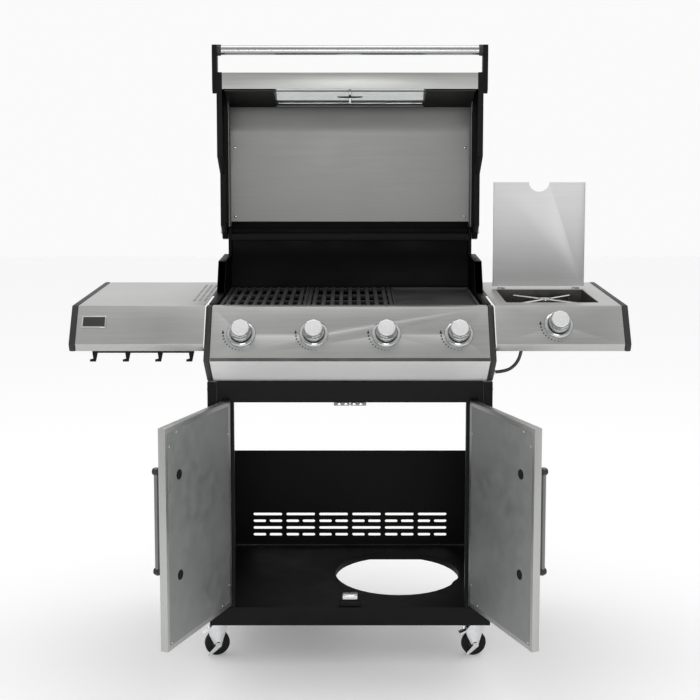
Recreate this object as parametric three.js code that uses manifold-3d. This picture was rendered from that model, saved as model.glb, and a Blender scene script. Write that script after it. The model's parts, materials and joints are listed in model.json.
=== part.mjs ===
// A four-burner gas barbecue on a wheeled cabinet, with two side shelves and a side burner.
// Millimetres, +Z up, front towards -Y. It stands as in use: lid, side lid and both doors open.
import * as THREE from "three";
import { mergeVertices } from "three/addons/utils/BufferGeometryUtils.js";
import Module from "manifold-3d";

const wasm = await Module();
wasm.setup();

// ---- driving dimensions -------------------------------------------------------------------
const FRONT_Y = -94.62; // the cabinet's front plane; every other y below is measured back from it
const GAP = 0.4; // between pieces that rest on each other
const SHEET = 1.25; // stainless and enamelled sheet
const PLATE = 1.5; // painted cabinet steel
const CABINET = { half: 344, depth: 480, base: 99, floor: 145, top: 706, post: 22, stile: 281 };
const BOTTLE = { x: 124, y: 246, radius: 162 };
const BACK_TOP = 414;
const SLOTS = { groups: 6, pitch: 92, long: 80, short: 35, height: 7.4, lowest: 174, rise: 19.4 };
const DOOR = { width: 307, thick: 18, low: 154, high: 662, hinge: [300, -14], inset: 9, open: 112.5 };
const DOOR_HANDLE = { length: 250, radius: 6, stand: 40, fromFree: 58, middle: 430, screwIn: 9, hole: 11 };
const PANEL = { half: 331, cap: 14.5, top: [10, 888], crease: [-68, 770], foot: [12, 707], back: 40 };
const KNOB_X = [-259, -86.3, 86.3, 259];
const KNOB = { radius: 25, depth: 34, stand: 7, stem: 4 };
const SIDE_KNOB_X = 496;
const SHELF = { inner: 346.5, outer: 665, cap: 15, depth: 430, top: 892, nose: [-52, 808], lip: [-45, 790] };
const PAN = { x: [380, 606], y: [53, 290], depth: 44 };
const SIDE_LID = { x: [374, 612], hinge: [298, 896], length: 275, rise: 12, notch: 27 };
const FIREBOX = { inner: 322, outer: 342, front: 45, back: 455, rim: 890, rear: 967, ridge: 1035, floor: 745 };
const GRATE = { top: 884, y: [50, 392], width: 211, pitch: 22, bar: 9, depth: 11 };
const LID = { hinge: [440, 1030], inner: 331, outer: 345, low: 893, roof: 1070, open: 90 };
const HANDLE = { y: -42, z: 916, radius: 12.5 };
const WINDOW = { half: 197, low: 902, high: 1050, liner: 1036, pane: [[46, 898], [91, 1052]], thick: 4 };
const GAUGE = { z: 949, radius: 34, front: 30, back: 48, stem: 3.5, nut: [73, 79], nutRadius: 22, tip: 96 };
const WHEEL = { radius: 31, width: 19, bore: 3.4, trail: 12 };
const CASTER = { x: 321, y: [66, 430], pad: 22 };
const CASTER_SWING = { front_left: 196, front_right: 193, rear_left: 205, rear_right: 190 };

// ---- materials ----------------------------------------------------------------------------
const finish = (color, roughness, metalness) =>
  new THREE.MeshStandardMaterial({ color, roughness, metalness });
const steel = finish(0xb9bab8, 0.38, 1);
const darkSteel = finish(0x7d7e7d, 0.45, 1);
const chrome = finish(0xe4e5e6, 0.12, 1);
const blackPaint = finish(0x161616, 0.5, 0.2);
const blackPlastic = finish(0x3a3a3a, 0.6, 0);
const castIron = finish(0x242424, 0.75, 0.4);
const rubber = finish(0x1d1d1d, 0.85, 0);
const glass = finish(0xdfe6e6, 0.05, 0);
glass.transparent = true;
glass.opacity = 0.35;

// ---- solids -------------------------------------------------------------------------------
const [X, Y, Z] = [0, 1, 2].map((i) => new THREE.Vector3().setComponent(i, 1));

function solidOf(geometry) {
  const loose = geometry.index ? geometry.toNonIndexed() : geometry;
  const bare = new THREE.BufferGeometry().setAttribute("position", loose.getAttribute("position"));
  const merged = mergeVertices(bare, 1e-3);
  return new wasm.Manifold(
    new wasm.Mesh({
      numProp: 3,
      vertProperties: merged.attributes.position.array,
      triVerts: new Uint32Array(merged.index.array),
    }),
  );
}

function geometryOf(solid) {
  const mesh = solid.getMesh();
  return new THREE.BufferGeometry()
    .setAttribute("position", new THREE.BufferAttribute(new Float32Array(mesh.vertProperties), 3))
    .setIndex(new THREE.BufferAttribute(new Uint32Array(mesh.triVerts), 1))
    .toNonIndexed();
}

const join = (...solids) => solids.reduce((whole, next) => whole.add(next));
const cut = (solid, ...tools) => tools.reduce((rest, tool) => rest.subtract(tool), solid);

function block([x0, x1], [y0, y1], [z0, z1]) {
  const box = new THREE.BoxGeometry(x1 - x0, y1 - y0, z1 - z0);
  return solidOf(box.translate((x0 + x1) / 2, (y0 + y1) / 2, (z0 + z1) / 2));
}

// A round bar between two points.
function rod(from, to, radius, sides = 12) {
  const a = new THREE.Vector3(...from);
  const along = new THREE.Vector3(...to).sub(a);
  const bar = new THREE.CylinderGeometry(radius, radius, along.length(), sides);
  const turn = new THREE.Quaternion().setFromUnitVectors(Y, along.clone().normalize());
  const middle = a.addScaledVector(along, 0.5);
  return solidOf(bar.applyQuaternion(turn).translate(middle.x, middle.y, middle.z));
}

function extrude(points, depth, basis) {
  const shape = new THREE.Shape(points.map(([u, v]) => new THREE.Vector2(u, v)));
  const body = new THREE.ExtrudeGeometry(shape, { depth, bevelEnabled: false, curveSegments: 10 });
  return solidOf(body.applyMatrix4(basis));
}
// An outline of (y, z) points, drawn out along x.
const prismX = (outline, [x0, x1]) =>
  extrude(outline, x1 - x0, new THREE.Matrix4().makeBasis(Y, Z, X).setPosition(x0, 0, 0));
// An outline of (x, y) points, drawn up along z.
const prismZ = (outline, [z0, z1]) => extrude(outline, z1 - z0, new THREE.Matrix4().setPosition(0, 0, z0));
// An outline of (x, z) points, drawn back along y.
const prismY = (outline, [y0, y1]) =>
  extrude(outline, y1 - y0, new THREE.Matrix4().makeBasis(X, Z, Y.clone().negate()).setPosition(0, y1, 0));

// The outline of a folded sheet: the path, and the same path moved to its left.
function folded(path, thickness = SHEET) {
  const points = path.map(([u, v]) => new THREE.Vector2(u, v));
  const normals = points.slice(1).map((p, i) => {
    const along = p.clone().sub(points[i]).normalize();
    return new THREE.Vector2(-along.y, along.x);
  });
  const inner = points.map((p, i) => {
    const a = normals[Math.max(i - 1, 0)];
    const b = normals[Math.min(i, normals.length - 1)];
    const miter = a.clone().add(b);
    return p.clone().addScaledVector(miter, thickness / (1 + a.dot(b)));
  });
  return [...points, ...inner.reverse()].map((p) => [p.x, p.y]);
}

// A ring turned about z, from (radius, z) points of a closed profile.
function turned(profile, sides) {
  const loop = [...profile, profile[0]].map(([r, z]) => new THREE.Vector2(r, z));
  return solidOf(new THREE.LatheGeometry(loop, sides).rotateX(Math.PI / 2));
}

const product = new THREE.Group();
const cart = new THREE.Group();
cart.position.y = FRONT_Y;
product.add(cart);

function piece(name, solid, material, parent = cart) {
  const mesh = new THREE.Mesh(geometryOf(solid), material);
  mesh.name = name;
  parent.add(mesh);
  return mesh;
}

// ---- cabinet ------------------------------------------------------------------------------
function addCabinet() {
  const { half, depth, base, floor, top, post, stile } = CABINET;
  const tray = cut(
    block([-half, half], [0, depth], [base, floor]),
    block([PLATE - half, half - PLATE], [PLATE, depth - PLATE], [base - 1, floor - PLATE]),
  );
  const pads = [-CASTER.x, CASTER.x].flatMap((x) =>
    CASTER.y.map((y) => block([x - CASTER.pad, x + CASTER.pad], [y - 30, y + 30], [base, base + 3])),
  );
  const round = (z0, z1, radius) => rod([BOTTLE.x, BOTTLE.y, z0], [BOTTLE.x, BOTTLE.y, z1], radius, 40);
  const collar = round(floor - 16, floor - 1, BOTTLE.radius + PLATE);
  const hole = round(base, floor + 5, BOTTLE.radius);
  piece("base_shelf", cut(join(tray, ...pads, collar), hole), blackPaint);

  for (const [name, side] of [["left", -1], ["right", 1]]) {
    const channel = [
      [half - post, 0], [half, 0], [half, depth], [half - post, depth], [half - post, depth - PLATE],
      [half - PLATE, depth - PLATE], [half - PLATE, PLATE], [half - post, PLATE],
    ];
    const wall = prismZ(channel.map(([x, y]) => [side * x, y]), [floor + GAP, top]);
    piece("side_panel_" + name, wall, blackPaint);
  }

  const edge = half - post - GAP;
  const frame = [
    [-edge, floor + GAP], [-stile, floor + GAP], [-stile, 656], [stile, 656],
    [stile, floor + GAP], [edge, floor + GAP], [edge, top], [-edge, top],
  ];
  const pockets = [
    block([-edge + PLATE, edge - PLATE], [1 + PLATE, 20], [656 + PLATE, top - PLATE]),
    block([-edge + PLATE, -stile - PLATE], [1 + PLATE, 20], [floor + 4, 656 + 4]),
    block([stile + PLATE, edge - PLATE], [1 + PLATE, 20], [floor + 4, 656 + 4]),
  ];
  piece("front_frame", cut(prismY(frame, [1, 19]), ...pockets), blackPaint);

  const slots = [0, 1, 2, 3].flatMap((row) => {
    const z = SLOTS.lowest + row * SLOTS.rise;
    const groups = Array.from({ length: SLOTS.groups }, (_, i) => (i - (SLOTS.groups - 1) / 2) * SLOTS.pitch);
    return groups.flatMap((x) => {
      const middles = row % 2 ? [x] : [-1, 1].map((s) => x + (s * (SLOTS.long - SLOTS.short)) / 2);
      const wide = (row % 2 ? SLOTS.long : SLOTS.short) / 2;
      const tall = [z - SLOTS.height / 2, z + SLOTS.height / 2];
      return middles.map((m) => block([m - wide, m + wide], [470, 490], tall));
    });
  });
  const sheet = block([-half + 4, half - 4], [depth - 7, depth - 5], [floor + GAP, BACK_TOP]);
  piece("back_panel", cut(sheet, ...slots), blackPaint);
}

// ---- doors --------------------------------------------------------------------------------
function addDoor(name, side) {
  const [hingeX, hingeY] = DOOR.hinge;
  const door = new THREE.Group();
  door.position.set(side * hingeX, hingeY, 0);
  door.rotation.z = side * THREE.MathUtils.degToRad(DOOR.open);
  cart.add(door);
  const half = DOOR.thick / 2;
  const span = (a, b) => [-side * a, -side * b].sort((p, q) => p - q);
  const x = -side * (DOOR.width - DOOR.inset - DOOR_HANDLE.fromFree);
  const y = -half - DOOR_HANDLE.stand;
  const [low, high] = [-0.5, 0.5].map((s) => DOOR_HANDLE.middle + s * DOOR_HANDLE.length);
  const screws = [low + DOOR_HANDLE.screwIn, high - DOOR_HANDLE.screwIn];
  // A hollow panel, open only at the two holes that reach the handle's screws.
  const panel = block(span(-DOOR.inset, DOOR.width - DOOR.inset), [-half, half], [DOOR.low, DOOR.high]);
  const hollow = block(
    span(SHEET - DOOR.inset, DOOR.width - DOOR.inset - SHEET),
    [SHEET - half, half - SHEET],
    [DOOR.low + SHEET, DOOR.high - SHEET],
  );
  const holes = screws.map((z) => rod([x, 0, z], [x, half + 1, z], DOOR_HANDLE.hole, 16));
  piece("door_" + name, cut(panel, hollow, ...holes), steel, door);
  const posts = screws.map((z) => rod([x, -half - GAP, z], [x, y, z], DOOR_HANDLE.radius));
  const bar = rod([x, y, low], [x, y, high], DOOR_HANDLE.radius);
  piece("door_handle_" + name, join(bar, ...posts), chrome, door);
}

// ---- control panel and knobs --------------------------------------------------------------
const midway = ([y0, z0], [y1, z1], t) => [y0 + (y1 - y0) * t, z0 + (z1 - z0) * t];

// A group whose +z stands out of a sloping face at x, t of the way down it.
function onSlope(x, top, bottom, t) {
  const [y, z] = midway(top, bottom, t);
  const spot = new THREE.Group();
  spot.position.set(x, y, z);
  spot.rotation.x = Math.PI / 2 - Math.atan2(top[0] - bottom[0], top[1] - bottom[1]);
  cart.add(spot);
  spot.updateMatrix();
  return spot;
}

function addKnob(label, spot) {
  const { radius, depth, stand, stem } = KNOB;
  const profile = [
    [stem + 0.4, 0], [radius, 0], [radius, 7], [radius - 3, 9], [radius - 3, depth - 5],
    [radius - 7, depth], [0.01, depth], [0.01, 14], [stem + 0.4, 14],
  ];
  const cap = turned(profile.map(([r, z]) => [r, z + stand]), 16);
  piece("knob_" + label, cap, chrome, spot);
  piece("valve_stem_" + label, rod([0, 0, -26], [0, 0, stand + 14 - GAP], stem, 10), darkSteel, spot);
}

function addControls() {
  const { half, cap, top, crease, foot, back } = PANEL;
  const path = [[back, top[1]], top, crease, foot, [back - 8, foot[1]]];
  const spots = KNOB_X.map((x) => onSlope(x, top, crease, 0.5));
  const drill = (spot) => rod([0, 0, -12], [0, 0, 12], KNOB.stem + 1.5, 12).transform(spot.matrix.toArray());
  piece("control_panel", cut(prismX(folded(path), [-half + GAP, half - GAP]), ...spots.map(drill)), steel);
  const rim = [
    [back, top[1] + 1], [top[0] - 1, top[1] + 1], [crease[0] - 2, crease[1]],
    [foot[0] - 1, foot[1]], [back, foot[1]],
  ];
  piece("panel_cap_left", prismX(rim, [-half - cap, -half]), blackPlastic);
  piece("panel_cap_right", prismX(rim, [half, half + cap]), blackPlastic);
  spots.forEach((spot, i) => addKnob(String(i + 1), spot));

  const pipe = { y: 20, z: 797, radius: 8 };
  const valves = spots.map((spot) => {
    const body = rod([0, 0, -54], [0, 0, -19], 10, 10);
    const bore = rod([0, 0, -40], [0, 0, -18], KNOB.stem + 0.5, 10);
    return cut(body, bore).transform(spot.matrix.toArray());
  });
  const tube = rod([-310, pipe.y, pipe.z], [310, pipe.y, pipe.z], pipe.radius, 10);
  piece("gas_manifold", join(tube, ...valves), darkSteel);
}

// A burner is a closed tube with a narrow open mouth at the front, where gas and air go in.
function burnerTube(x, front, back) {
  const bar = (y0, y1, radius, sides) => rod([x, y0, 800], [x, y1, 800], radius, sides);
  const shell = join(bar(front + 12, back - 12, 14, 12), bar(front - 4, front + 14, 6, 10));
  return cut(shell, bar(front + 14, back - 14, 12.5, 12), bar(front - 5, front + 15, 4.5, 10));
}

// ---- firebox and what stands in it --------------------------------------------------------
function addFirebox() {
  const { inner, outer, front, back, rim, rear, ridge, floor } = FIREBOX;
  const low = CABINET.top + GAP;
  const side = [[front, low], [front, rim], [232, rim], [280, rear], [back, rear], [back, low]];
  const hollow = [
    [front + SHEET, low - 1], [front + SHEET, rim - SHEET], [231, rim - SHEET],
    [279, rear - SHEET], [back - SHEET, rear - SHEET], [back - SHEET, low - 1],
  ];
  const walls = [-1, 1].map((s) => {
    const span = (a, b) => [s * a, s * b].sort((p, q) => p - q);
    const seat = GRATE.top - GRATE.depth;
    const ledge = block(span(inner - 6, inner + 1), [front, back], [seat - 4, seat - GAP]);
    const ear = block(span(inner - 2, inner + 6.5), [424, back], [rear - 4, LID.hinge[1] + 12]);
    const wall = cut(prismX(side, span(inner, outer)), prismX(hollow, span(inner + SHEET, outer - SHEET)));
    return join(wall, ledge, ear);
  });
  const frontWall = block([-inner - 1, inner + 1], [front, front + PLATE], [low, rim - 8]);
  const backWall = block([-inner - 1, inner + 1], [back - PLATE, back], [floor, ridge]);
  const pin = (a, b) => rod([a, ...LID.hinge], [b, ...LID.hinge], 4, 12);
  const pins = [-1, 1].map((s) => pin(s * (inner + 5), s * (LID.outer - 2)));
  const pair = KNOB_X.map((x) => rod([x, front - 5, 800], [x, front + 8, 800], 6.5, 10));
  piece("firebox", cut(join(...walls, frontWall, backWall, ...pins), ...pair), blackPaint);

  KNOB_X.forEach((x, i) => piece("burner_" + (i + 1), burnerTube(x, front, back), darkSteel));
  [["left", -1], ["right", 1]].forEach(([name, s]) => {
    const ridges = [s * 172.6 - 86.3, s * 172.6 + 86.3];
    const path = [
      [ridges[0] - 54, 828], [ridges[0], 850], [s * 172.6, 832], [ridges[1], 850], [ridges[1] + 54, 828],
    ];
    piece("heat_plate_" + name, prismY(folded(path, -SHEET), [front + 12, back - 14]), darkSteel);
  });

  const { top, y, width, pitch, bar, depth } = GRATE;
  const tall = [top - depth, top];
  [["left", -213], ["middle", 0]].forEach(([name, x]) => {
    const along = (middle, wide) => block([middle - wide / 2, middle + wide / 2], y, tall);
    const bars = [-4, -3, -2, -1, 0, 1, 2, 3, 4].map((i) => along(x + i * pitch, bar));
    const rails = [-1, 1].map((s) => along(x + s * (width / 2 - 4), 8));
    const ribs = [y[0] + 5, y[0] + 104, y[0] + 206, y[1] - 5].map((at) =>
      block([x - width / 2, x + width / 2], [at - 5, at + 5], [top - depth, top - 2]),
    );
    piece("grate_" + name, join(...bars, ...ribs, ...rails), castIron);
  });
  const [x0, x1] = [213 - width / 2, 213 + width / 2];
  const plate = block([x0, x1], y, tall);
  piece("griddle", cut(plate, block([x0 + 7, x1 - 7], [y[0] + 7, y[1] - 7], [top - 7, top + 1])), castIron);

  const tray = cut(
    block([-300, 300], [60, 466], [712, 740]),
    block([SHEET - 300, 300 - SHEET], [60 + SHEET, 466 - SHEET], [712 + SHEET, 741]),
  );
  const lip = block([-60, 60], [465, 479], [730, 732]);
  piece("grease_tray", join(tray, lip), darkSteel);
}

// ---- lid ----------------------------------------------------------------------------------
function addLid() {
  const lid = new THREE.Group();
  lid.position.set(0, ...LID.hinge);
  lid.rotation.x = -THREE.MathUtils.degToRad(LID.open);
  cart.add(lid);
  const closed = (solid) => solid.translate([0, -LID.hinge[0], -LID.hinge[1]]);
  const { inner, outer, low, roof } = LID;
  const nose = [[16, low], [26, 950], [52, 1016], [88, 1056], [128, roof]];
  const tail = [[420, roof], [450, 1056]];
  const window = (high) => block([-WINDOW.half, WINDOW.half], [0, 130], [WINDOW.low, high]);
  const outline = folded([...tail.reverse(), ...nose.reverse(), [58, low]]);
  const skin = prismX(outline, [-inner + GAP, inner - GAP]);
  piece("lid_hood", closed(cut(skin, window(WINDOW.high))), steel, lid);
  const inside = folded([[418, 1066], [140, 1063], [104, 1046], [62, low + 3]]);
  const liner = prismX(inside, [-inner + 6, inner - 6]);
  piece("lid_liner", closed(cut(liner, window(WINDOW.liner))), steel, lid);

  const side = [
    [15, low], [232, low], [282, 971], [418, 971], [440, 1008], [458, 1018], [462, 1036], [452, 1059],
    [421, roof + 2], [127, roof + 2], [86, 1058], [50, 1018], [24, 951],
  ];
  const recess = [
    [26, low + 7], [229, low + 7], [278, 979], [411, 979], [421, 1000], [421, roof - 8], [130, roof - 8],
    [92, 1050], [58, 1014], [33, 950],
  ];
  [["left", -1], ["right", 1]].forEach(([name, s]) => {
    const span = (a, b) => [s * a, s * b].sort((p, q) => p - q);
    const arm = [[-56, 903], [-42, 900], [58, 903], [70, 912], [58, 934], [-42, 932], [-56, 928]];
    const plate = join(prismX(side, span(inner, outer)), prismX(arm, span(outer - 1, outer + 12)));
    const hinge = rod([s * (inner - 2), ...LID.hinge], [s * (outer + 2), ...LID.hinge], 4.5, 12);
    const hollow = prismX(recess, span(inner - 1, outer - 3));
    piece("lid_end_" + name, closed(cut(plate, hinge, hollow)), blackPaint, lid);
  });

  const stem = (a, b, radius, sides) => rod([0, a, GAUGE.z], [0, b, GAUGE.z], radius, sides);
  const pane = prismX(folded(WINDOW.pane, -WINDOW.thick), [-WINDOW.half - 8, WINDOW.half + 8]);
  piece("lid_window", closed(cut(pane, stem(40, 90, GAUGE.stem + 1, 12))), glass, lid);
  const gauge = join(
    stem(GAUGE.front, GAUGE.back, GAUGE.radius, 24),
    stem(GAUGE.back - 1, GAUGE.tip, GAUGE.stem, 10),
    stem(...GAUGE.nut, GAUGE.nutRadius, 16),
  );
  piece("thermometer", closed(gauge), chrome, lid);
  const reach = outer - 1 - GAP;
  const tube = (radius, end) => rod([-end, HANDLE.y, HANDLE.z], [end, HANDLE.y, HANDLE.z], radius, 20);
  const grip = cut(tube(HANDLE.radius, reach), tube(HANDLE.radius - SHEET, reach + 1));
  piece("lid_handle", closed(grip), steel, lid);
}

// ---- side shelves -------------------------------------------------------------------------
function shelfSkin(span) {
  const { depth, top, nose, lip } = SHELF;
  return prismX(folded([[depth, top - 38], [depth, top], [0, top], nose, lip, [lip[0] + 26, lip[1]]]), span);
}

function addShelves() {
  const { inner, outer, cap, depth, top, nose, lip } = SHELF;
  const rim = [
    [depth + 1, top - 40], [depth + 1, top + 1], [-1, top + 1],
    [nose[0] - 2, nose[1]], [lip[0] - 1, lip[1] - 1], [lip[0] + 26, lip[1] - 1],
  ];
  piece("shelf_left", shelfSkin([-outer + cap + GAP, -inner]), steel);
  piece("shelf_cap_left", prismX(rim, [-outer, -outer + cap]), blackPlastic);
  piece("shelf_cap_right", prismX(rim, [outer - cap, outer]), blackPlastic);

  const hook = [[-3, -4], [-1, -20], [-9, -22], [-9, -27], [5, -27], [10, -4]];
  const hooks = [-609, -531, -454, -380].map((x) =>
    prismY(hook.map(([u, v]) => [x + u, lip[1] + v]), [-36, -32]),
  );
  const rail = block([-612, -370], [-36, -32], [lip[1] - 6, lip[1] - GAP]);
  piece("tool_hooks", join(rail, ...hooks), blackPaint);

  const [x0, x1] = PAN.x;
  const [y0, y1] = PAN.y;
  const bottom = top - PAN.depth;
  const spot = onSlope(SIDE_KNOB_X, [0, top], nose, 0.5);
  const drill = rod([0, 0, -12], [0, 0, 12], KNOB.stem + 1.5, 12).transform(spot.matrix.toArray());
  const pan = block([x0 - SHEET, x1 + SHEET], [y0 - SHEET, y1 + SHEET], [bottom - SHEET, top]);
  const well = block([x0, x1], [y0, y1], [bottom, top + 5]);
  piece("shelf_right", cut(join(shelfSkin([inner, outer - cap - GAP]), pan), well, drill), steel);
  addKnob("side", spot);

  const [cx, cy] = [(x0 + x1) / 2, (y0 + y1) / 2];
  const burner = join(
    rod([cx, cy, bottom + GAP], [cx, cy, bottom + 12], 24, 20),
    rod([cx, cy, bottom + 11], [cx, cy, bottom + 20], 34, 20),
  );
  piece("side_burner", burner, castIron);
  const arms = [0, 1, 2, 3].map((i) => {
    const turn = (i * Math.PI) / 2 + Math.PI / 4;
    const at = (r) => [cx + r * Math.cos(turn), cy + r * Math.sin(turn)];
    return join(
      rod([...at(12), bottom + 34], [...at(104), bottom + 34], 3, 8),
      rod([...at(101), bottom + 36], [...at(101), bottom + GAP], 3, 8),
    );
  });
  const ring = turned([[12, -3], [18, -3], [18, 3], [12, 3]], 20).translate([cx, cy, bottom + 34]);
  piece("pan_support", join(ring, ...arms), chrome);

  const lid = new THREE.Group();
  lid.position.set(0, ...SIDE_LID.hinge);
  cart.add(lid);
  const [l0, l1] = SIDE_LID.x;
  const { length, rise, notch } = SIDE_LID;
  const shell = cut(
    block([l0, l1], [0, rise], [2, length]),
    block([l0 + SHEET, l1 - SHEET], [-1, rise - SHEET], [1, length - SHEET]),
    rod([(l0 + l1) / 2, -5, length + 2], [(l0 + l1) / 2, rise + 5, length + 2], notch, 24),
  );
  piece("side_burner_lid", shell, steel, lid);
}

// ---- gas hose to the side burner ----------------------------------------------------------
function addHose() {
  const route = [
    [424, 60, 845], [421, 60, 806], [419, 60, 772], [410, 60, 745],
    [392, 60, 727], [368, 60, 720], [343, 60, 719],
  ];
  const radius = 4.2;
  const path = new THREE.CatmullRomCurve3(route.map((p) => new THREE.Vector3(...p)));
  const section = new THREE.Shape(
    Array.from({ length: 8 }, (_, i) => {
      const turn = (i * Math.PI) / 4;
      return new THREE.Vector2(radius * Math.cos(turn), radius * Math.sin(turn));
    }),
  );
  const tube = new THREE.ExtrudeGeometry(section, { steps: 24, extrudePath: path, bevelEnabled: false });
  piece("gas_hose", solidOf(tube), rubber);
}

// ---- casters ------------------------------------------------------------------------------
function addCaster(place, x, y, braked) {
  const caster = new THREE.Group();
  caster.position.set(x, y, 0);
  caster.rotation.z = THREE.MathUtils.degToRad(CASTER_SWING[place]);
  cart.add(caster);
  const { radius, width, bore, trail } = WHEEL;
  const leg = braked
    ? [[-16, 90], [16, 90], [trail + 24, 68], [trail + 22, 56], [trail + 8, 28], [trail, 23], [trail - 8, 28]]
    : [[-16, 90], [16, 90], [trail + 8, 34], [trail + 6, 26], [trail, 23], [trail - 8, 28]];
  const legs = [[-14.5, -11], [11, 14.5]].map((span) => prismY(leg, span));
  const post = rod([0, 0, 90], [0, 0, CABINET.base - GAP], 15, 16);
  const crown = join(block([-16, 16], [-14.5, 14.5], [87, 91]), post);
  const axle = rod([trail, -17, radius], [trail, 17, radius], bore - 0.4, 12);
  const pin = braked ? [rod([trail + 17, -12, 63], [trail + 17, 12, 63], 2, 8)] : [];
  piece("fork_" + place, join(crown, axle, ...legs, ...pin), chrome, caster);

  const half = width / 2;
  const tyre = [
    [bore, -half], [radius - 4, -half], [radius, 4 - half],
    [radius, half - 4], [radius - 4, half], [bore, half],
  ];
  piece("wheel_" + place, turned(tyre, 28).rotate([90, 0, 0]).translate([trail, 0, radius]), rubber, caster);
  if (!braked) return;
  const edge = [[13, 66], [20, 67], [38, 60], [38, 57], [21, 60], [14, 60]].map(([u, v]) => [trail + u, v]);
  const blade = prismY(edge, [-9, 9]);
  const eye = rod([trail + 17, -10, 63], [trail + 17, 10, 63], 2.5, 8);
  piece("brake_" + place, cut(blade, eye), chrome, caster);
}

addCabinet();
addDoor("left", -1);
addDoor("right", 1);
addControls();
addFirebox();
addLid();
addShelves();
addHose();
addCaster("front_left", -CASTER.x, CASTER.y[0], true);
addCaster("front_right", CASTER.x, CASTER.y[0], true);
addCaster("rear_left", -CASTER.x, CASTER.y[1], false);
addCaster("rear_right", CASTER.x, CASTER.y[1], false);

export default product;
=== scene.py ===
import json
import math

import bmesh
import bpy
from mathutils import Matrix, Vector

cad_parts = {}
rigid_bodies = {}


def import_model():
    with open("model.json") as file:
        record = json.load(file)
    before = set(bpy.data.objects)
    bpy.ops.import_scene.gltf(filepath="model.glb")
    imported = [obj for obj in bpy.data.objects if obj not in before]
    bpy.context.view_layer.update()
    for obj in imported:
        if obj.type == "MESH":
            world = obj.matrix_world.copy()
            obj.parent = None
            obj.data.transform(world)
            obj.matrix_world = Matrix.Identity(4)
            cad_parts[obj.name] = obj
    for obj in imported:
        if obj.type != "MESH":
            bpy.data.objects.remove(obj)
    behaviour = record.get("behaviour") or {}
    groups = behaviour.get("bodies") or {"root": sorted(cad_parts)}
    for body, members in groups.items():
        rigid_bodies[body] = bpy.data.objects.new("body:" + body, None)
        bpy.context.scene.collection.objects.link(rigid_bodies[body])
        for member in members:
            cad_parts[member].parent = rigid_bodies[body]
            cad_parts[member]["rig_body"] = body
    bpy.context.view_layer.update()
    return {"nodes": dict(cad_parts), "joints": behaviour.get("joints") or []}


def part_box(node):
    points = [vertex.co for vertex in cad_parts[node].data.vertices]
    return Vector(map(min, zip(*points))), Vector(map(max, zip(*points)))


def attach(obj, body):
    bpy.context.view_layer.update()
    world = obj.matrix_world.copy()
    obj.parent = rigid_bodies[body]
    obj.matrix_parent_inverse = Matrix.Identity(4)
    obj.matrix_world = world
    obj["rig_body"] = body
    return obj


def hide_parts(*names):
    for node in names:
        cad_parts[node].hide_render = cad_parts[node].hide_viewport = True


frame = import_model()
mm = 0.001
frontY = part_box("base_shelf")[0].y  # the cabinet's front plane
joints = {joint["name"]: joint for joint in frame["joints"]}
knobNames = ["1", "2", "3", "4", "side"]
corners = ["front_left", "front_right", "rear_left", "rear_right"]
hinge = Vector(joints["lid_hinge"]["pos_m"])
lidTurn = Matrix.Translation(hinge) @ Matrix.Rotation(-math.pi / 2, 4, "X") @ Matrix.Translation(-hinge)


def at(x, y, z):
    return Vector((x * mm, y * mm + frontY, z * mm))


# camera first, then light and floor
cameraSet = {"height": 1.3586, "away": 3.1354, "pitch": 5.84, "focal": 68.04, "shift": -0.15}


def makeCamera(settings):
    data = bpy.data.cameras.new("camera")
    data.lens = settings["focal"]
    data.sensor_width = 36
    data.shift_y = settings["shift"]
    camera = bpy.data.objects.new("camera", data)
    camera.location = (0, frontY - settings["away"], settings["height"])
    camera.rotation_euler = (math.radians(90 - settings["pitch"]), 0, 0)
    bpy.context.scene.collection.objects.link(camera)
    bpy.context.scene.camera = camera


def linear(hexText):
    channels = [int(hexText[i : i + 2], 16) / 255 for i in (0, 2, 4)]
    return tuple(c / 12.92 if c <= 0.04045 else ((c + 0.055) / 1.055) ** 2.4 for c in channels) + (1.0,)


def addNode(tree, kind, feeds=None, **settings):
    made = tree.nodes.new(kind)
    for key, value in settings.items():
        setattr(made, key, value)
    for key, value in (feeds or {}).items():
        socket = made.inputs[key]
        if isinstance(value, bpy.types.NodeSocket):
            tree.links.new(value, socket)
        else:
            socket.default_value = value
    return made


lightSet = {
    "keyWatts": 6,
    "fillWatts": 4,
    "topWatts": 18,
    "frontWatts": 26,
    "floorGlow": 0.2,
    "frontWorld": 0.42,
    "backWorld": 0.96,
    "dimUntil": -0.9,
    "fullFrom": 0.35,
    "floorHex": "f8f8f8",
}


def makeLight(name, where, aim, size, watts):
    data = bpy.data.lights.new(name, "AREA")
    data.shape = "RECTANGLE"
    data.size, data.size_y = size
    data.energy = watts
    lamp = bpy.data.objects.new(name, data)
    lamp.location = where
    lamp.rotation_euler = (Vector(aim) - Vector(where)).to_track_quat("-Z", "Y").to_euler()
    bpy.context.scene.collection.objects.link(lamp)


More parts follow.
